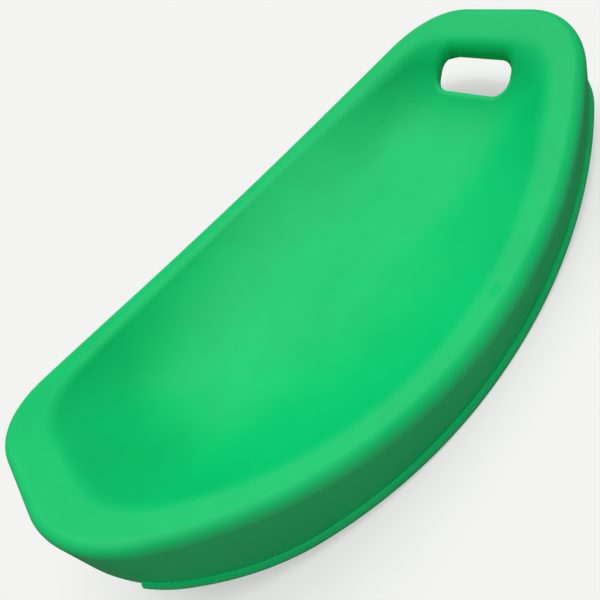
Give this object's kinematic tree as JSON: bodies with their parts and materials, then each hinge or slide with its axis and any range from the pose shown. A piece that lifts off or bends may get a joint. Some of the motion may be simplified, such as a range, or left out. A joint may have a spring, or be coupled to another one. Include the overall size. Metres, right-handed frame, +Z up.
{
  "type": "scoop rocker seat",
  "caption": "Low one-piece moulded plastic child's rocker seat: a dished scoop with a flat rounded rim, side walls on curved rocking edges and a hand slot at the head end.",
  "frame": {"origin": "centre of the bounding box in plan, at floor level, with the seat standing in balance on its rocking edges", "axes": "+X from the foot end to the head end, which has the hand slot; +Y to the left side seen from the foot end towards the head end; +Z up"},
  "size_m": [0.664, 0.4138, 0.1403],
  "materials": {
    "moulding": "satin moulded polyethylene with a very fine grain"
  },
  "bodies": {
    "root": {"seat_pan": "moulding", "foot_seat_wall": "moulding", "left_seat_wall": "moulding", "right_seat_wall": "moulding", "left_seat_corner": "moulding", "right_seat_corner": "moulding", "hand_hold": "moulding", "slot_collar": "moulding", "rim_deck": "moulding", "left_skirt": "moulding", "right_skirt": "moulding", "foot_skirt": "moulding", "head_skirt": "moulding", "left_runner": "moulding", "right_runner": "moulding"}
  },
  "joints": []
}
